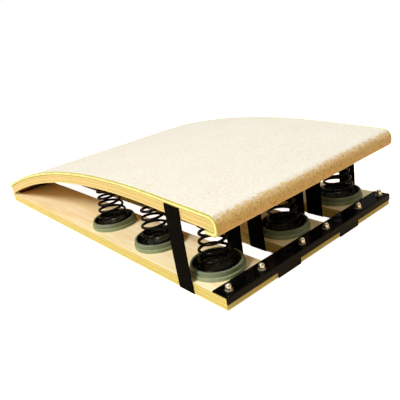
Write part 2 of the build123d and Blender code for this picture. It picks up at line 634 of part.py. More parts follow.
# ---- deck: plywood panel, foam, carpet and edge bindings ----------------------------------------
with BuildPart() as deck_panel:
    with BuildSketch(Plane.XZ):
        with BuildLine():
            top_line(0.0)
            underside_line()
            Line(on_arc(LOW_ANGLE, 0), on_arc(LOW_ANGLE, DECK_THICKNESS))
        make_face()
    across()
    for x, y in STATIONS.values():
        with BuildSketch(Plane.XY.offset(PLANK_TOP)):
            with Locations((x, y)):
                Circle(SEAT_SCREW_RADIUS)
        extrude(amount=deck_height(x) + SEAT_SCREW_BITE - PLANK_TOP, mode=Mode.SUBTRACT)
    for y in LANES.values():
        with Locations(*deck_screw_planes(y)):
            Cylinder(SCREW_RADIUS, SCREW_BITE, align=TOP_DOWN, mode=Mode.SUBTRACT)
        with BuildSketch(Plane.XZ.offset(-y)):
            with BuildLine():
                low_x, high_x = STRAP_LOW_X - STRAP_CLEARANCE, STRAP_HIGH_X + STRAP_CLEARANCE
                floor, ceiling = DECK_THICKNESS - RECESS_DEPTH, DECK_THICKNESS + RECESS_DEPTH
                Polyline(
                    (low_x, deck_height(low_x, floor)), (high_x, deck_height(high_x, floor)),
                    (high_x, deck_height(high_x, ceiling)), (low_x, deck_height(low_x, ceiling)),
                    close=True,
                )
            make_face()
        extrude(amount=STRAP_SIDE + STRAP_THICKNESS + STRAP_CLEARANCE, both=True, mode=Mode.SUBTRACT)
        leg = STRAP_SIDE + STRAP_THICKNESS / 2
        with BuildSketch(Plane.XY.offset(PLANK_TOP)):
            with Locations((STRAP_X, y - leg), (STRAP_X, y + leg)):
                Rectangle(STRAP_WIDTH + 2 * STRAP_CLEARANCE, STRAP_THICKNESS + 2 * STRAP_CLEARANCE)
        extrude(amount=OVERALL_LENGTH, mode=Mode.SUBTRACT)
save(deck_panel, "deck_panel")

for name, inside, outside in (
    ("foam_underlay", 0.0, FOAM_THICKNESS),
    ("carpet_cover", FOAM_THICKNESS, SKIN_THICKNESS),
):
    with BuildPart() as layer:
        with BuildSketch(Plane.XZ):
            with BuildLine():
                skin_profile(inside, outside)
            make_face()
        across()
    save(layer, name)

for name, side in (("edge_binding_near", -1), ("edge_binding_far", 1)):
    with BuildPart() as binding:
        with BuildSketch(Plane.XZ.offset(-side * (WIDTH + BINDING_THICKNESS) / 2)):
            with BuildLine():
                skin_profile(0.0, SKIN_THICKNESS)
            make_face()
        across(BINDING_THICKNESS / 2)
    save(binding, name)
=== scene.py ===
"""Looks for the vaulting springboard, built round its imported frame.

Metres, in the frame's own axes: +X towards the nose, +Y across the board, +Z up.
"""

from math import cos, pi, radians, sin

import bmesh
import bpy
from mathutils import Matrix, Vector
from mathutils.bvhtree import BVHTree


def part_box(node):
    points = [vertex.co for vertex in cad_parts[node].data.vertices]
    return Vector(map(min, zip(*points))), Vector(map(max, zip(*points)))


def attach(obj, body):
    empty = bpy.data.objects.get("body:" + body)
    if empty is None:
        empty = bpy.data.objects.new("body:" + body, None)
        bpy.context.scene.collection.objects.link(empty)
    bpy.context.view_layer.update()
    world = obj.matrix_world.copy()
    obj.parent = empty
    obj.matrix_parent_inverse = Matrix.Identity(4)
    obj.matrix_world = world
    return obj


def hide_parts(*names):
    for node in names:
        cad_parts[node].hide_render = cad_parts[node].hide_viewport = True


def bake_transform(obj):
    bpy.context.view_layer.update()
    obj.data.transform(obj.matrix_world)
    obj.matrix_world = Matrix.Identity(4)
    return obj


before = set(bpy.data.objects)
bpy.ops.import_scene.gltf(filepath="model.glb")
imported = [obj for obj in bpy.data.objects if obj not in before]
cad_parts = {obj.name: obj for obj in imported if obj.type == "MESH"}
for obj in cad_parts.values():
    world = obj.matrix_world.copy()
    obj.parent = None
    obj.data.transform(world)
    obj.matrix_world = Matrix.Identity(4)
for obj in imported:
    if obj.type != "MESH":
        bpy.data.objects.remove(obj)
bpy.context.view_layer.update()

# ---- sizes --------------------------------------------------------------------------------------
LANES = ("near", "middle", "far")
STATIONS = [f"{row}_{lane}" for row in ("low", "mid", "high") for lane in LANES]

WIRE_RADIUS = 0.0035
COIL_LOW_RADIUS = 0.0425        # wire centre of the lowest turn
COIL_TOP_RADIUS = 0.0285
COIL_TAPER_HEIGHT = 0.085       # the cone runs into a straight coil above this
COIL_TAPER_POWER = 1.2
COIL_TURNS = 7.6
COIL_END_TURNS = 0.9            # closed turns at each end
COIL_CLOSED_PITCH = 2.08        # rise of one closed turn, in wire radii
COIL_TURN_STEPS = 44
COIL_SECTION_SIDES = 14

CUP_INNER_RADIUS = 0.054
CUP_FLANGE_HEIGHT = 0.009
CUP_INSIDE_SHADE_FADE = 0.0015        # width over which the painted shade inside the cup gives way to the rim
CUP_WALL_FADE = 0.001           # height over which the flange's colour gives way to the wall's

WEBBING_CORNER = 0.003
WEBBING_SLACK = 0.001           # legs bow out by this much
WEBBING_EDGE = 0.0008
WEBBING_CORNER_STEPS = 6
WEBBING_EDGE_STEPS = 3
WEBBING_RUN_CUTS = 8            # extra points along each run, so that the legs can bow

CARPET_ROUNDING = 0.0016
CARPET_SHADE_RAGGEDNESS = 0.8    # noise added to how far the pile faces the nose
CARPET_SHADE_START = 0.75        # the painted golden shade starts where that sum is this much
CARPET_SHADE_END = 1.3           # and is complete where it is this much
FOAM_ROUNDING = 0.001
BINDING_ROUNDING = 0.0009
BINDING_LINE = 0.0015           # darker line along each edge of the binding
BINDING_OUTER = 0.99            # the binding's outer face points sideways at least this much
BEVEL_SEGMENTS = 4
BEVEL_ANGLE = 40                # edges sharper than this many degrees are rounded
MERGE_DISTANCE = 1e-6
FLAT_ANGLE = 0.05               # faces within this many degrees of each other are merged

VENEER_THICKNESS = 0.005        # one layer of the laminated wood
WOOD_RELIEF = 0.00012
DECK_ARC_PLACES = (-0.5, -0.08, 0.34)   # x of three points on the deck's arc
DECK_STRAIGHT_PLACES = (0.45, 0.56)     # x of two points on its straight end
FACE_UPRIGHTNESS = 0.7          # a wooden side that faces up or down more than this is a face, not an edge

SURROUND_LIGHT = (0.25, 0.235, 0.20)    # strength of each colour that the backdrop throws on the board
FLOOR_GLOW = 0.94               # brightness that the floor keeps in the shade
FLOOR_HALF_SIDE = 9.0
SUN_DISTANCE = 3
CAMERA_AIM = (-0.0599, 0.1700, -0.0665)
CAMERA_DISTANCE = 1.7047
CAMERA_AZIMUTH = 53.08          # degrees round from the near side towards the nose
CAMERA_ELEVATION = 21.06
CAMERA_ROLL = -9.67
CAMERA_LENS = 42.46             # millimetres
CAMERA_SENSOR_WIDTH = 36.0      # millimetres

PLANK_LOW, PLANK_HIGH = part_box("plank_near")
PLANK_MIDDLE_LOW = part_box("plank_middle")[0]


# ---- node trees ---------------------------------------------------------------------------------
def add(tree, kind, inputs=None, **settings):
    """Add a node. Each input is given a plain value or the socket that feeds it."""
    made = tree.nodes.new(kind)
    for name, value in settings.items():
        setattr(made, name, value)
    for key, value in (inputs or {}).items():
        if isinstance(value, bpy.types.NodeSocket):
            tree.links.new(value, made.inputs[key])
        else:
            made.inputs[key].default_value = value
    return made


def maths(tree, operation, *values):
    """Result of a sum on values or sockets."""
    return add(tree, "ShaderNodeMath", dict(enumerate(values)), operation=operation).outputs[0]


def map_range(tree, value, low, high, to_low=0.0, to_high=1.0, smooth=False):
    """Value moved from one range to another and held inside it."""
    kind = "SMOOTHSTEP" if smooth else "LINEAR"
    inputs = dict(zip(range(5), (value, low, high, to_low, to_high)))
    return add(tree, "ShaderNodeMapRange", inputs, interpolation_type=kind).outputs[0]


def mix_colours(tree, share, first, second):
    """The first colour where share is 0 and the second where it is 1."""
    inputs = {0: share, 6: first, 7: second}
    return add(tree, "ShaderNodeMix", inputs, data_type="RGBA").outputs[2]


def new_group(name, kind, inputs, outputs):
    """A node group with its named sockets. Gives the group, its input node and its output node."""
    group = bpy.data.node_groups.new(name, kind)
    for direction, sockets in (("INPUT", inputs), ("OUTPUT", outputs)):
        for label, (socket_kind, value) in sockets.items():
            socket = group.interface.new_socket(label, in_out=direction, socket_type=socket_kind)
            if value is not None:
                socket.default_value = value
    return group, group.nodes.new("NodeGroupInput").outputs, group.nodes.new("NodeGroupOutput").inputs


def stretched(tree, place, scale):
    """Coordinates with a scale of their own along each axis."""
    return add(tree, "ShaderNodeMapping", {"Vector": place, "Scale": scale}).outputs[0]


def noise(tree, place, scale, detail=2.0, distortion=0.0):
    """Noise value at a place."""
    inputs = {"Vector": place, "Scale": scale, "Detail": detail, "Distortion": distortion}
    return add(tree, "ShaderNodeTexNoise", inputs).outputs[0]


def colour(code):
    """Linear colour from a six-digit display colour code."""
    parts = [int(code[start:start + 2], 16) / 255 for start in (0, 2, 4)]
    return (*[c / 12.92 if c <= 0.04045 else ((c + 0.055) / 1.055) ** 2.4 for c in parts], 1.0)


VECTOR = ("NodeSocketVector", None)
GEOMETRY = ("NodeSocketGeometry", None)
COLOUR_OUT = ("NodeSocketColor", None)
FLOAT_OUT = ("NodeSocketFloat", None)


def shade(code):
    """A colour socket and its starting value."""
    return ("NodeSocketColor", colour(code))


def number(value):
    """A number socket and its starting value."""
    return ("NodeSocketFloat", value)


# ---- effects that several finishes share --------------------------------------------------------
def wood_figure_group():
    """Face of a rotary-cut birch veneer, its grain along X: soft bands, fibres and short pores."""
    group, given, out = new_group(
        "wood figure", "ShaderNodeTree",
        {"Vector": VECTOR, "Pale": shade("F0D8A4"), "Dark": shade("D9AE6C")},
        {"Color": COLOUR_OUT, "Height": FLOAT_OUT})
    bands = noise(group, stretched(group, given["Vector"], (0.07, 1.0, 1.0)), 34.0, 4.0, 1.6)
    fibres = noise(group, stretched(group, given["Vector"], (0.03, 1.0, 1.0)), 420.0, 3.0, 0.3)
    pores = noise(group, stretched(group, given["Vector"], (0.09, 1.0, 1.0)), 1300.0, 1.0)
    band_share = map_range(group, bands, 0.38, 0.66, smooth=True)
    fibre_share = map_range(group, fibres, 0.3, 0.72, 0.0, 0.45)
    share = maths(group, "ADD", maths(group, "MULTIPLY", band_share, 0.55), fibre_share)
    pore_share = map_range(group, pores, 0.66, 0.76, 0.0, 0.35)
    grain = mix_colours(group, share, given["Pale"], given["Dark"])
    group.links.new(mix_colours(group, pore_share, grain, given["Dark"]), out["Color"])
    group.links.new(maths(group, "SUBTRACT", fibres, pore_share), out["Height"])
    return group


def ply_edge_group():
    """Sawn edge of plywood: crossed veneers with thin dark glue lines between them."""
    group, given, out = new_group(
        "ply edge", "ShaderNodeTree",
        {"Vector": VECTOR, "Depth": number(0.0), "Veneer": number(VENEER_THICKNESS),
         "Pale": shade("F6E2A4"), "End Grain": shade("D8B064"), "Glue": shade("8A6430")},
        {"Color": COLOUR_OUT, "Height": FLOAT_OUT})
    waviness = noise(group, given["Vector"], 14.0, 2.0)
    depth = maths(group, "MULTIPLY_ADD", waviness, 0.0006, given["Depth"])
    layer = maths(group, "DIVIDE", depth, given["Veneer"])
    within = maths(group, "FRACT", layer)
    crossed = maths(group, "GREATER_THAN", maths(group, "FRACT", maths(group, "MULTIPLY", layer, 0.5)), 0.5)
    from_line = maths(group, "MINIMUM", within, maths(group, "SUBTRACT", 1.0, within))
    glue = map_range(group, from_line, 0.0, 0.14, 0.85, 0.0, smooth=True)
    streaks = noise(group, stretched(group, given["Vector"], (0.05, 0.05, 1.0)), 900.0, 2.0)
    ends = noise(group, given["Vector"], 1500.0, 2.0)
    figure = map_range(group, streaks, 0.35, 0.7, 0.0, 0.35)
    dark = map_range(group, ends, 0.3, 0.7, 0.35, 1.0)
    share = maths(group, "MAXIMUM", figure, maths(group, "MULTIPLY", crossed, dark))
    veneer = mix_colours(group, share, given["Pale"], given["End Grain"])
    group.links.new(mix_colours(group, glue, veneer, given["Glue"]), out["Color"])
    group.links.new(maths(group, "SUBTRACT", maths(group, "MULTIPLY", ends, 0.4), glue), out["Height"])
    return group


def flecks_group():
    """Short tufts in two colours, with a few darker flecks among them."""
    group, given, out = new_group(
        "flecks", "ShaderNodeTree",
        {"Vector": VECTOR, "Tufts": number(420.0), "Base": shade("DAD7CC"), "Second": shade("CEC4AC"),
         "Fleck": shade("BBA47E"), "Fleck Share": number(0.09)},
        {"Color": COLOUR_OUT, "Height": FLOAT_OUT})
    inputs = {"Vector": given["Vector"], "Scale": given["Tufts"], "Randomness": 1.0}
    tufts = add(group, "ShaderNodeTexVoronoi", inputs)
    patches = noise(group, given["Vector"], 9.0, 3.0)
    chance = add(group, "ShaderNodeSeparateColor", {"Color": tufts.outputs["Color"]}).outputs
    second = maths(group, "MULTIPLY", chance[0], map_range(group, patches, 0.3, 0.7, 0.5, 1.0))
    fleck = maths(group, "LESS_THAN", chance[1], given["Fleck Share"])
    strength = maths(group, "MULTIPLY", fleck, map_range(group, chance[2], 0.0, 1.0, 0.15, 0.6))
    tint = mix_colours(group, second, given["Base"], given["Second"])
    group.links.new(mix_colours(group, strength, tint, given["Fleck"]), out["Color"])
    group.links.new(maths(group, "SUBTRACT", 1.0, tufts.outputs["Distance"]), out["Height"])
    return group


def handling_group():
    """Dust, smears and fine grain on a hard finish: a patchy roughness and two tints."""
    group, given, out = new_group(
        "handling marks", "ShaderNodeTree",
        {"Vector": VECTOR, "Scale": number(12.0), "Smooth": number(0.2), "Rough": number(0.35),
         "Clean": shade("202020"), "Dusty": shade("303030"), "Grain": number(900.0)},
        {"Color": COLOUR_OUT, "Roughness": FLOAT_OUT, "Height": FLOAT_OUT})
    smears = noise(group, given["Vector"], given["Scale"], 5.0, 0.4)
    grain = noise(group, given["Vector"], given["Grain"], 2.0)
    share = map_range(group, maths(group, "MULTIPLY_ADD", grain, 0.25, smears), 0.42, 0.85, smooth=True)
    group.links.new(map_range(group, share, 0.0, 1.0, given["Smooth"], given["Rough"]), out["Roughness"])
    group.links.new(mix_colours(group, share, given["Clean"], given["Dusty"]), out["Color"])
    group.links.new(grain, out["Height"])
    return group


def weave_group():
    """Tight twill of thick yarns, its ribs running along the tape."""
    group, given, out = new_group(
        "webbing weave", "ShaderNodeTree",
        {"Across": number(0.0), "Along": number(0.0), "Yarn": number(0.0016),
         "Yarn Color": shade("070806"), "Shadow Color": shade("020202")},
        {"Color": COLOUR_OUT, "Height": FLOAT_OUT})
    turn = maths(group, "DIVIDE", 2 * pi, given["Yarn"])
    rib = maths(group, "SINE", maths(group, "MULTIPLY", given["Across"], turn))
    side = maths(group, "SIGN", rib)
    slant = maths(group, "MULTIPLY_ADD", given["Across"], 0.8, given["Along"])
    pick = maths(group, "SINE", maths(group, "MULTIPLY_ADD", maths(group, "MULTIPLY", slant, turn), 0.55,
                                      maths(group, "MULTIPLY", side, pi / 2)))
    height = maths(group, "MULTIPLY_ADD", maths(group, "MULTIPLY", pick, 0.5), 0.5,
                   maths(group, "ABSOLUTE", rib))
    share = map_range(group, height, 0.1, 1.0)
    group.links.new(mix_colours(group, share, given["Shadow Color"], given["Yarn Color"]), out["Color"])
    group.links.new(height, out["Height"])
    return group


WOOD_FIGURE = wood_figure_group()
PLY_EDGE = ply_edge_group()
FLECKS = flecks_group()
HANDLING = handling_group()
WEAVE = weave_group()


# ---- finishes -----------------------------------------------------------------------------------
def new_finish(name, plain):
    """A material, its tree, and its shader with the plain settings on its own sockets."""
    finish = bpy.data.materials.new(name)
    finish.use_nodes = True
    shader = finish.node_tree.nodes["Principled BSDF"]
    for label, value in plain.items():
        shader.inputs[label].default_value = value
    return finish, finish.node_tree, shader


def effect(tree, group, inputs):
    """The outputs of a shared effect, placed in a material with that material's values."""
    return add(tree, "ShaderNodeGroup", inputs, node_tree=group).outputs


def bump(tree, shader, height, distance, strength=1.0):
    """Raise the surface by a height pattern, distance metres at most."""
    inputs = {"Height": height, "Distance": distance, "Strength": strength}
    tree.links.new(add(tree, "ShaderNodeBump", inputs).outputs[0], shader.inputs["Normal"])


def deck_curve():
    """The deck's underside: centre and radius of its arc, and where it runs straight to the nose."""
    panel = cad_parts["deck_panel"].data
    surface = BVHTree.FromPolygons([v.co for v in panel.vertices], [p.vertices for p in panel.polygons])
    gap_y = (PLANK_HIGH.y + PLANK_MIDDLE_LOW.y) / 2

    def underside(x):
        """Point of the underside at x, in the gap between two planks."""
        return surface.ray_cast(Vector((x, gap_y, 0)), Vector((0, 0, 1)))[0].xz

    low, middle, high = (underside(x) for x in DECK_ARC_PLACES)
    sides = Matrix((middle - low, high - low))
    halves = Vector(((middle.length_squared - low.length_squared) / 2,
                     (high.length_squared - low.length_squared) / 2))
    centre = sides.inverted() @ halves
    radius = (low - centre).length
    start, end = (underside(x) for x in DECK_STRAIGHT_PLACES)
    straight = (end - start).normalized()
    outward = Vector((-straight.y, straight.x))
    return centre, radius, centre + outward * radius, outward


def lay_wood(tree, shader, depth, face_colours, edge_colours, gloss):
    """Put grain on the faces and veneers on the sawn edges. Depth runs through the layers."""
    place = add(tree, "ShaderNodeTexCoord").outputs
    upright = add(tree, "ShaderNodeSeparateXYZ", {0: place["Normal"]}).outputs["Z"]
    pale, dark = face_colours
    face = effect(tree, WOOD_FIGURE, {"Vector": place["Object"], "Pale": colour(pale), "Dark": colour(dark)})
    pale, end_grain, glue = edge_colours
    edge = effect(tree, PLY_EDGE, {"Vector": place["Object"], "Depth": depth, "Pale": colour(pale),
                                   "End Grain": colour(end_grain), "Glue": colour(glue)})
    is_face = maths(tree, "GREATER_THAN", maths(tree, "ABSOLUTE", upright), FACE_UPRIGHTNESS)
    tree.links.new(mix_colours(tree, is_face, edge["Color"], face["Color"]), shader.inputs["Base Color"])
    smooth, rough = gloss
    marks = effect(tree, HANDLING, {"Vector": place["Object"], "Smooth": smooth, "Rough": rough})
    tree.links.new(marks["Roughness"], shader.inputs["Roughness"])
    above_edge = maths(tree, "SUBTRACT", face["Height"], edge["Height"])
    bump(tree, shader, maths(tree, "MULTIPLY_ADD", above_edge, is_face, edge["Height"]), WOOD_RELIEF, 0.6)


def birch_plank():
    """Lacquered birch plywood, its veneers level."""
    finish, tree, shader = new_finish("birch_plank", {"Coat Weight": 0.25, "Coat Roughness": 0.18})
    place = add(tree, "ShaderNodeTexCoord").outputs["Object"]
    height = add(tree, "ShaderNodeSeparateXYZ", {0: place}).outputs["Z"]
    depth = maths(tree, "SUBTRACT", height, PLANK_LOW.z)
    lay_wood(tree, shader, depth, ("FAF1CE", "F0D69A"), ("CCC878", "BCA94F", "7A5A1E"), (0.28, 0.5))
    return finish


def deck_plywood():
    """Bent plywood whose veneers follow the curve of the deck."""
    centre, radius, straight_start, outward = deck_curve()
    finish, tree, shader = new_finish("deck_plywood", {"Coat Weight": 0.2, "Coat Roughness": 0.2})
    place = add(tree, "ShaderNodeTexCoord").outputs["Object"]
    flat_place = add(tree, "ShaderNodeVectorMath", {0: place, 1: (1, 0, 1)}, operation="MULTIPLY").outputs[0]
    from_centre = add(tree, "ShaderNodeVectorMath", {0: flat_place, 1: (centre.x, 0, centre.y)},
                      operation="DISTANCE").outputs["Value"]
    on_arc = maths(tree, "SUBTRACT", from_centre, radius)
    from_start = add(tree, "ShaderNodeVectorMath",
                     {0: flat_place, 1: (straight_start.x, 0, straight_start.y)},
                     operation="SUBTRACT").outputs[0]
    on_straight = add(tree, "ShaderNodeVectorMath", {0: from_start, 1: (outward.x, 0, outward.y)},
                      operation="DOT_PRODUCT").outputs["Value"]
    past = maths(tree, "GREATER_THAN", add(tree, "ShaderNodeSeparateXYZ", {0: from_start}).outputs["X"], 0.0)
    depth = maths(tree, "MULTIPLY_ADD", maths(tree, "SUBTRACT", on_straight, on_arc), past, on_arc)
    lay_wood(tree, shader, depth, ("E8CF98", "D0A05C"), ("D2C786", "C4AA5F", "7A5A1E"), (0.3, 0.52))
    return finish


def hard_finish(name, clean, dusty, smooth, rough, plain=None, scale=12.0, grain=900.0, relief=0.00003):
    """A metal, plastic or rubber with patchy gloss and a fine grain."""
    finish, tree, shader = new_finish(name, plain or {})
    place = add(tree, "ShaderNodeTexCoord").outputs["Object"]
    marks = effect(tree, HANDLING, {"Vector": place, "Scale": scale, "Grain": grain, "Smooth": smooth,
                                    "Rough": rough, "Clean": colour(clean), "Dusty": colour(dusty)})
    tree.links.new(marks["Color"], shader.inputs["Base Color"])
    tree.links.new(marks["Roughness"], shader.inputs["Roughness"])
    bump(tree, shader, marks["Height"], relief, 0.5)
    return finish


def black_webbing():
    """Woven black tape, its loop lying across the board."""
    finish, tree, shader = new_finish("black_webbing", {"Roughness": 0.9, "Specular IOR Level": 0.04})
    place = add(tree, "ShaderNodeTexCoord").outputs["Object"]
    axes = add(tree, "ShaderNodeSeparateXYZ", {0: place}).outputs
    along = maths(tree, "ADD", axes["Y"], axes["Z"])
    woven = effect(tree, WEAVE, {"Across": axes["X"], "Along": along})
    tree.links.new(woven["Color"], shader.inputs["Base Color"])
    bump(tree, shader, woven["Height"], 0.0003, 0.9)
    return finish


def beige_carpet():
    """Short dense pile, cream on top, with a darker golden painted shade where it turns down over the nose.
    """
    finish, tree, shader = new_finish("beige_carpet", {"Roughness": 0.95, "Sheen Weight": 0.25,
                                                       "Sheen Roughness": 0.6})
    place = add(tree, "ShaderNodeTexCoord").outputs
    top = effect(tree, FLECKS, {"Vector": place["Object"], "Tufts": 420.0})
    # Painted shade: darker golden tufts stand in for the pile that faces the nose, away from the light.
    nose = effect(tree, FLECKS, {"Vector": place["Object"], "Tufts": 300.0, "Base": colour("CBAE6C"),
                                 "Second": colour("B28A40"), "Fleck": colour("96601E"),
                                 "Fleck Share": 0.22})
    # The painted shade grows as the surface faces the nose (+X), with a ragged noisy edge.
    facing = add(tree, "ShaderNodeSeparateXYZ", {0: place["Normal"]}).outputs["X"]
    ragged = maths(tree, "MULTIPLY_ADD", noise(tree, place["Object"], 110.0), CARPET_SHADE_RAGGEDNESS, facing)
    nose_shade_share = map_range(tree, ragged, CARPET_SHADE_START, CARPET_SHADE_END, smooth=True)
    tree.links.new(mix_colours(tree, nose_shade_share, top["Color"], nose["Color"]), shader.inputs["Base Color"])
    bump(tree, shader, top["Height"], 0.0007, 0.8)
    return finish


def underlay_foam():
    """Dense cream foam with small open cells."""
    finish, tree, shader = new_finish("underlay_foam", {"Roughness": 0.9})
    place = add(tree, "ShaderNodeTexCoord").outputs["Object"]
    cells = effect(tree, FLECKS, {"Vector": place, "Tufts": 1100.0, "Base": colour("E8DCC0"),
                                  "Second": colour("D2C3A0"), "Fleck": colour("A08C64")})
    tree.links.new(cells["Color"], shader.inputs["Base Color"])
    bump(tree, shader, cells["Height"], 0.0003, 0.8)
    return finish


def cup_rubber():
    """Moulded rubber: pale grey-green on the flange, darker on the wall, with nearly black painted shade
    inside it.
    """
    cup_low, cup_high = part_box("spring_cup_low_middle")
    middle = (cup_low + cup_high) / 2
    row_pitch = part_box("spring_cup_mid_middle")[0].x - cup_low.x
    lane_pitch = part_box("spring_cup_low_far")[0].y - cup_low.y
    finish, tree, shader = new_finish("cup_rubber", {"Specular IOR Level": 0.35})
    place = add(tree, "ShaderNodeTexCoord").outputs["Object"]
    axes = add(tree, "ShaderNodeSeparateXYZ", {0: place}).outputs
    offsets = []
    for axis, centre, pitch in (("X", middle.x, row_pitch), ("Y", middle.y, lane_pitch)):
        from_middle = maths(tree, "SUBTRACT", axes[axis], centre)
        offsets.append(maths(tree, "WRAP", from_middle, pitch / 2, -pitch / 2))
    from_axis = add(tree, "ShaderNodeCombineXYZ", {"X": offsets[0], "Y": offsets[1]}).outputs[0]
    radius = add(tree, "ShaderNodeVectorMath", {0: from_axis}, operation="LENGTH").outputs["Value"]
    # Painted shade: within the cup's inner radius the rubber is painted nearly black.
    inside = map_range(tree, radius, CUP_INNER_RADIUS + CUP_INSIDE_SHADE_FADE, CUP_INNER_RADIUS, smooth=True)
    wall_foot = cup_low.z + CUP_FLANGE_HEIGHT
    on_wall = map_range(tree, axes["Z"], wall_foot, wall_foot + CUP_WALL_FADE)
    worn = {"Vector": place, "Scale": 25.0, "Smooth": 0.4, "Rough": 0.6}
    flange = effect(tree, HANDLING, {**worn, "Clean": colour("7B8764"), "Dusty": colour("929C7A")})
    wall = effect(tree, HANDLING, {**worn, "Clean": colour("646F56"), "Dusty": colour("78836A")})
    # Nearly black colours, painted as the shade inside the cup.
    painted_inside_shade = effect(tree, HANDLING, {**worn, "Clean": colour("22271F"), "Dusty": colour("343B2F")})
    outer = mix_colours(tree, on_wall, flange["Color"], wall["Color"])
    tree.links.new(mix_colours(tree, inside, outer, painted_inside_shade["Color"]), shader.inputs["Base Color"])
    tree.links.new(flange["Roughness"], shader.inputs["Roughness"])
    bump(tree, shader, flange["Height"], 0.00006, 0.5)
    return finish


def binding_vinyl():
    """Satin vinyl, pale along its middle between two lime lines."""
    finish, tree, shader = new_finish("binding_vinyl", {"Specular IOR Level": 0.3})
    place = add(tree, "ShaderNodeTexCoord").outputs["Object"]
    worn = {"Vector": place, "Scale": 30.0, "Grain": 500.0, "Smooth": 0.32, "Rough": 0.5}
    middle = effect(tree, HANDLING, {**worn, "Clean": colour("E3E0AC"), "Dusty": colour("D9D498")})
    lines = effect(tree, HANDLING, {**worn, "Clean": colour("B2B43A"), "Dusty": colour("9C9C2E")})
    is_middle = add(tree, "ShaderNodeAttribute", attribute_name="middle").outputs["Fac"]
    striped = mix_colours(tree, is_middle, lines["Color"], middle["Color"])
    tree.links.new(striped, shader.inputs["Base Color"])
    tree.links.new(middle["Roughness"], shader.inputs["Roughness"])
    bump(tree, shader, middle["Height"], 0.00003, 0.5)
    return finish


def make_finishes():
    """Every finish, by the name of the record's material slot."""
    metal = {"Metallic": 1.0}
    enamel = {"IOR": 1.4, "Specular IOR Level": 0.12}
    dull = {"Specular IOR Level": 0.15}
    made = [
        birch_plank(),
        deck_plywood(),
        black_webbing(),
        beige_carpet(),
        underlay_foam(),
        binding_vinyl(),
        cup_rubber(),
        hard_finish("grip_rubber", "1B1B1B", "2C2B29", 0.7, 0.9, grain=1400.0, relief=0.0002),
        hard_finish("black_plastic", "0B0B0B", "141414", 0.45, 0.6, dull, relief=0.00006),
        hard_finish("black_painted_steel", "040405", "080808", 0.08, 0.18, enamel, scale=8.0),
        hard_finish("black_spring_steel", "060606", "0F0F0F", 0.16, 0.3, enamel, scale=40.0),
        hard_finish("zinc_steel", "B9B9B4", "9A9A94", 0.25, 0.42, metal, scale=60.0),
        hard_finish("bright_zinc", "EEE9D8", "CCC6B2", 0.12, 0.26, {"Metallic": 0.9}, scale=60.0),
        hard_finish("hinge_bronze", "8C5628", "9A683C", 0.45, 0.65, dull, scale=40.0),
    ]
    return {finish.name: finish for finish in made}


SLOTS = {name: node.data.materials[0].name for name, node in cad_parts.items()}
for packed in list(bpy.data.materials):
    bpy.data.materials.remove(packed)
FINISHES = make_finishes()
for name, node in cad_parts.items():
    node.material_slots[0].material = FINISHES[SLOTS[name]]


# ---- making pieces ------------------------------------------------------------------------------
def link(name, shape):
    """A new object at the origin that shows a mesh or curve."""
    piece = bpy.data.objects.new(name, shape)
    bpy.context.scene.collection.objects.link(piece)
    return piece


def as_mesh(source, name):
    """Turn an object and its modifiers into one plain mesh, as a new piece."""
    depsgraph = bpy.context.evaluated_depsgraph_get()
    shape = bpy.data.meshes.new_from_object(source.evaluated_get(depsgraph))
    bpy.data.objects.remove(source)
    shape.name = name
    return link(name, shape)


def put_out(tree, geometry, slot, out):
    """End a Geometry Nodes tree: smooth, plain geometry that wears one finish."""
    smooth = add(tree, "GeometryNodeSetShadeSmooth", {"Geometry": geometry}).outputs[0]
    real = add(tree, "GeometryNodeRealizeInstances", {"Geometry": smooth}).outputs[0]
    worn = add(tree, "GeometryNodeSetMaterial", {"Geometry": real, "Material": FINISHES[slot]}).outputs[0]
    tree.links.new(worn, out["Geometry"])


def grown(name, tree, source, values):
    """Run a Geometry Nodes tree with its named inputs and keep the plain mesh."""
    holder = link(f"{name}_source", source)
    modifier = holder.modifiers.new("build", "NODES")
    modifier.node_group = tree
    for item in tree.interface.items_tree:
        if item.in_out == "INPUT" and item.name in values:
            modifier[item.identifier] = values[item.name]
    return as_mesh(holder, name)


def softened(name, cad_node, rounding):
    """A copy of a CAD node with its hard edges rounded and its long faces smooth."""
    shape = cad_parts[cad_node].data.copy()
    solid = bmesh.new()
    solid.from_mesh(shape)
    bmesh.ops.remove_doubles(solid, verts=solid.verts, dist=MERGE_DISTANCE)
    bmesh.ops.dissolve_limit(solid, angle_limit=radians(FLAT_ANGLE), verts=solid.verts, edges=solid.edges)
    solid.to_mesh(shape)
    volume = solid.calc_volume()
    solid.free()
    holder = link(f"{name}_source", shape)
    modifier = holder.modifiers.new("edges", "BEVEL")
    modifier.width = rounding
    modifier.segments = BEVEL_SEGMENTS
    modifier.limit_method = "ANGLE"
    modifier.angle_limit = radians(BEVEL_ANGLE)
    piece = as_mesh(holder, name)
    piece.data.shade_smooth()
    return piece, volume


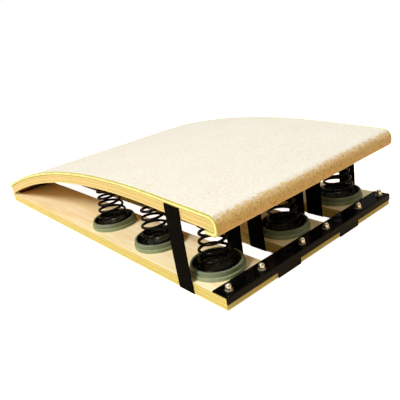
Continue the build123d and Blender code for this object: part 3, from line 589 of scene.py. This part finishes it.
# ---- springs ------------------------------------------------------------------------------------
def spring_tree():
    """Round wire wound on a cone that turns into a straight coil, with a closed turn at each end."""
    tree, given, out = new_group(
        "conical spring", "GeometryNodeTree",
        {"Foot": VECTOR, "Height": number(0.13), "Low Radius": number(COIL_LOW_RADIUS),
         "Top Radius": number(COIL_TOP_RADIUS), "Taper Height": number(COIL_TAPER_HEIGHT),
         "Taper Power": number(COIL_TAPER_POWER), "Turns": number(COIL_TURNS),
         "End Turns": number(COIL_END_TURNS), "Wire Radius": number(WIRE_RADIUS)},
        {"Geometry": GEOMETRY})
    steps = maths(tree, "MULTIPLY", given["Turns"], COIL_TURN_STEPS)
    line = add(tree, "GeometryNodeCurvePrimitiveLine").outputs[0]
    spaced = add(tree, "GeometryNodeResampleCurve", {"Curve": line, "Count": steps}, mode="COUNT").outputs[0]
    share = add(tree, "GeometryNodeSplineParameter").outputs["Factor"]
    closed = maths(tree, "DIVIDE", given["End Turns"], given["Turns"])
    opened = maths(tree, "SUBTRACT", 1.0, closed)
    closed_radii = maths(tree, "MULTIPLY", given["End Turns"], COIL_CLOSED_PITCH)
    closed_rise = maths(tree, "MULTIPLY", closed_radii, given["Wire Radius"])
    open_rise = maths(tree, "MULTIPLY_ADD", closed_rise, -2.0, given["Height"])
    rise = maths(tree, "ADD", map_range(tree, share, closed, opened, 0.0, open_rise),
                 maths(tree, "ADD", map_range(tree, share, 0.0, closed, 0.0, closed_rise),
                       map_range(tree, share, opened, 1.0, 0.0, closed_rise)))
    taper = map_range(tree, maths(tree, "DIVIDE", rise, given["Taper Height"]), 0.0, 1.0, 1.0, 0.0)
    spread = maths(tree, "SUBTRACT", given["Low Radius"], given["Top Radius"])
    radius = maths(tree, "MULTIPLY_ADD", maths(tree, "POWER", taper, given["Taper Power"]), spread,
                   given["Top Radius"])
    angle = maths(tree, "MULTIPLY", maths(tree, "MULTIPLY", share, given["Turns"]), 2 * pi)
    coil = add(tree, "ShaderNodeCombineXYZ", {
        "X": maths(tree, "MULTIPLY", radius, maths(tree, "COSINE", angle)),
        "Y": maths(tree, "MULTIPLY", radius, maths(tree, "SINE", angle)), "Z": rise}).outputs[0]
    place = add(tree, "ShaderNodeVectorMath", {0: coil, 1: given["Foot"]}, operation="ADD").outputs[0]
    wound = add(tree, "GeometryNodeSetPosition", {"Geometry": spaced, "Position": place}).outputs[0]
    section = add(tree, "GeometryNodeCurvePrimitiveCircle", {"Resolution": COIL_SECTION_SIDES,
                                                             "Radius": given["Wire Radius"]}).outputs[0]
    wire = add(tree, "GeometryNodeCurveToMesh", {"Curve": wound, "Profile Curve": section,
                                                 "Fill Caps": True}).outputs[0]
    put_out(tree, wire, "black_spring_steel", out)
    return tree


def make_springs():
    """One spring a cup, standing on its floor and reaching the seat under the deck."""
    tree = spring_tree()
    for station in STATIONS:
        cup_low, cup_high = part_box(f"spring_cup_{station}")
        low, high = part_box(f"spring_{station}")
        middle = (cup_low + cup_high) / 2
        foot = Vector((middle.x, middle.y, low.z + WIRE_RADIUS))
        height = high.z - low.z - 2 * WIRE_RADIUS
        spring = grown(f"coil_{station}", tree, bpy.data.meshes.new("empty"),
                       {"Foot": foot, "Height": height})
        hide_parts(f"spring_{station}")
        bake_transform(spring)


# ---- webbing ------------------------------------------------------------------------------------
def webbing_tree():
    """Flat tape with rounded edges that follows a loop, its legs bowing out a little."""
    tree, given, out = new_group(
        "webbing loop", "GeometryNodeTree",
        {"Geometry": GEOMETRY, "Middle": number(0.0), "Floor": number(0.0),
         "Rise": number(0.2), "Width": number(0.05), "Thickness": number(0.002),
         "Corner": number(WEBBING_CORNER), "Slack": number(WEBBING_SLACK), "Edge": number(WEBBING_EDGE)},
        {"Geometry": GEOMETRY})
    rounded = add(tree, "GeometryNodeFilletCurve", {"Curve": given["Geometry"],
                                                    "Count": WEBBING_CORNER_STEPS,
                                                    "Radius": given["Corner"]}, mode="POLY").outputs[0]
    spaced = add(tree, "GeometryNodeSubdivideCurve", {"Curve": rounded, "Cuts": WEBBING_RUN_CUTS}).outputs[0]
    axes = add(tree, "ShaderNodeSeparateXYZ", {0: add(tree, "GeometryNodeInputPosition").outputs[0]}).outputs
    height = maths(tree, "DIVIDE", maths(tree, "SUBTRACT", axes["Z"], given["Floor"]), given["Rise"])
    bow = maths(tree, "MULTIPLY", maths(tree, "SINE", maths(tree, "MULTIPLY", height, pi)), given["Slack"])
    side = maths(tree, "SIGN", maths(tree, "SUBTRACT", axes["Y"], given["Middle"]))
    shift = add(tree, "ShaderNodeCombineXYZ", {"Y": maths(tree, "MULTIPLY", bow, side)}).outputs[0]
    bowed = add(tree, "GeometryNodeSetPosition", {"Geometry": spaced, "Offset": shift}).outputs[0]
    flat = add(tree, "GeometryNodeCurvePrimitiveQuadrilateral", {"Width": given["Width"],
                                                                 "Height": given["Thickness"]}).outputs[0]
    section = add(tree, "GeometryNodeFilletCurve", {"Curve": flat, "Count": WEBBING_EDGE_STEPS,
                                                    "Radius": given["Edge"]}, mode="POLY").outputs[0]
    tape = add(tree, "GeometryNodeCurveToMesh", {"Curve": bowed, "Profile Curve": section}).outputs[0]
    put_out(tree, tape, "black_webbing", out)
    return tree


def loop_path(corners):
    """A closed curve of straight runs between corners."""
    path = bpy.data.curves.new("loop", "CURVE")
    path.dimensions = "3D"
    run = path.splines.new("POLY")
    run.points.add(len(corners) - 1)
    for point, corner in zip(run.points, corners):
        point.co = (*corner, 1)
    run.use_cyclic_u = True
    return path


def make_straps():
    """One closed loop of webbing round each plank and over the deck above it."""
    tree = webbing_tree()
    outward = deck_curve()[-1]
    for lane in LANES:
        low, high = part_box(f"strap_{lane}")
        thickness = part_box(f"plank_{lane}")[0].z - low.z
        fall = outward.x / outward.y
        middle = (low + high) / 2
        top = high.z - fall * (middle.x - low.x)
        sides = (low.y + thickness / 2, high.y - thickness / 2)
        levels = (low.z + thickness / 2, top - thickness / 2)
        corners = [(middle.x, sides[0], levels[0]), (middle.x, sides[0], levels[1]),
                   (middle.x, sides[1], levels[1]), (middle.x, sides[1], levels[0])]
        strap = grown(f"webbing_{lane}", tree, loop_path(corners), {
            "Middle": middle.y, "Floor": levels[0], "Rise": levels[1] - levels[0],
            "Width": high.x - low.x, "Thickness": thickness})
        for point in strap.data.vertices:
            share = (point.co.z - levels[0]) / (levels[1] - levels[0])
            point.co.z -= max(0.0, share) * fall * (point.co.x - middle.x)
        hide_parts(f"strap_{lane}")
        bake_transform(strap)


# ---- padding on the deck ------------------------------------------------------------------------
def mark_middle(binding, outward):
    """Inset the binding's outer face and mark the part inside its two edge lines."""
    solid = bmesh.new()
    solid.from_mesh(binding.data)
    middle = solid.loops.layers.float.new("middle")
    outer = [face for face in solid.faces if face.normal.y * outward > BINDING_OUTER]
    widest = max(outer, key=lambda face: face.calc_area())
    bmesh.ops.inset_region(solid, faces=[widest], thickness=BINDING_LINE)
    for corner in widest.loops:
        corner[middle] = 1.0
    solid.to_mesh(binding.data)
    solid.free()


def make_padding():
    """Foam, carpet and edge binding, which lie on the deck and wrap under its nose."""
    foam, _ = softened("foam_layer", "foam_underlay", FOAM_ROUNDING)
    carpet, carpet_volume = softened("carpet_layer", "carpet_cover", CARPET_ROUNDING)
    bindings = []
    for side, outward in (("near", -1), ("far", 1)):
        binding, _ = softened(f"binding_{side}", f"edge_binding_{side}", BINDING_ROUNDING)
        mark_middle(binding, outward)
        bindings.append(binding)
        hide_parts(f"edge_binding_{side}")
    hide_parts("foam_underlay")
    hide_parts("carpet_cover")
    for piece in (foam, carpet, *bindings):
        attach(piece, "deck")


# ---- studio -------------------------------------------------------------------------------------
def make_floor():
    """A plain pale floor that stays near white in the shade of the board."""
    half = FLOOR_HALF_SIDE
    shape = bpy.data.meshes.new("floor")
    shape.from_pydata([(-half, -half, 0), (half, -half, 0), (half, half, 0), (-half, half, 0)], [],
                      [(0, 1, 2, 3)])
    finish, tree, shader = new_finish("pale_floor", {"Base Color": (0.95, 0.70, 0.42, 1), "Roughness": 0.9,
                                                      "Specular IOR Level": 0.0})
    seen = add(tree, "ShaderNodeLightPath").outputs["Is Camera Ray"]
    glow = (FLOOR_GLOW, FLOOR_GLOW, FLOOR_GLOW, 1)
    tree.links.new(mix_colours(tree, seen, (0, 0, 0, 1), glow), shader.inputs["Emission Color"])
    shader.inputs["Emission Strength"].default_value = 1.0
    shape.materials.append(finish)
    link("floor", shape)


def add_sun(name, towards, softness, strength):
    """A distant light that stands in one direction, its disc as wide as the softness in degrees."""
    lamp = bpy.data.lights.new(name, "SUN")
    lamp.angle = radians(softness)
    lamp.energy = strength
    holder = link(name, lamp)
    holder.location = Vector(towards).normalized() * SUN_DISTANCE
    holder.rotation_euler = Vector(towards).to_track_quat("Z", "Y").to_euler()


def make_light():
    """A white backdrop that lights the board dimly and warmly, and two soft distant lights."""
    world = bpy.data.worlds.new("studio")
    world.use_nodes = True
    tree = world.node_tree
    seen = add(tree, "ShaderNodeLightPath").outputs["Is Camera Ray"]
    surround = mix_colours(tree, seen, (*SURROUND_LIGHT, 1), (1, 1, 1, 1))
    tree.links.new(surround, tree.nodes["Background"].inputs["Color"])
    bpy.context.scene.world = world
    add_sun("near_side", (-0.15, -1.0, 1.0), 22, 3.5)
    add_sun("overhead", (0.1, 0.2, 1.0), 70, 1.3)


def make_camera():
    """Three-quarter view on the nose and the near side, rolled a little."""
    azimuth, elevation, roll = (radians(turn) for turn in (CAMERA_AZIMUTH, CAMERA_ELEVATION, CAMERA_ROLL))
    back = Vector((sin(azimuth) * cos(elevation), -cos(azimuth) * cos(elevation), sin(elevation)))
    right = Vector((0, 0, 1)).cross(back).normalized()
    up = back.cross(right)
    rolled_right = right * cos(roll) + up * sin(roll)
    rolled_up = up * cos(roll) - right * sin(roll)
    lens = bpy.data.cameras.new("camera")
    lens.lens = CAMERA_LENS
    lens.sensor_width = CAMERA_SENSOR_WIDTH
    camera = link("camera", lens)
    turn = Matrix((rolled_right, rolled_up, back)).transposed()
    place = Vector(CAMERA_AIM) + back * CAMERA_DISTANCE
    camera.matrix_world = Matrix.Translation(place) @ turn.to_4x4()
    bpy.context.scene.camera = camera


make_springs()
make_straps()
make_padding()
make_floor()
make_light()
make_camera()
bpy.context.scene.view_settings.view_transform = "Standard"
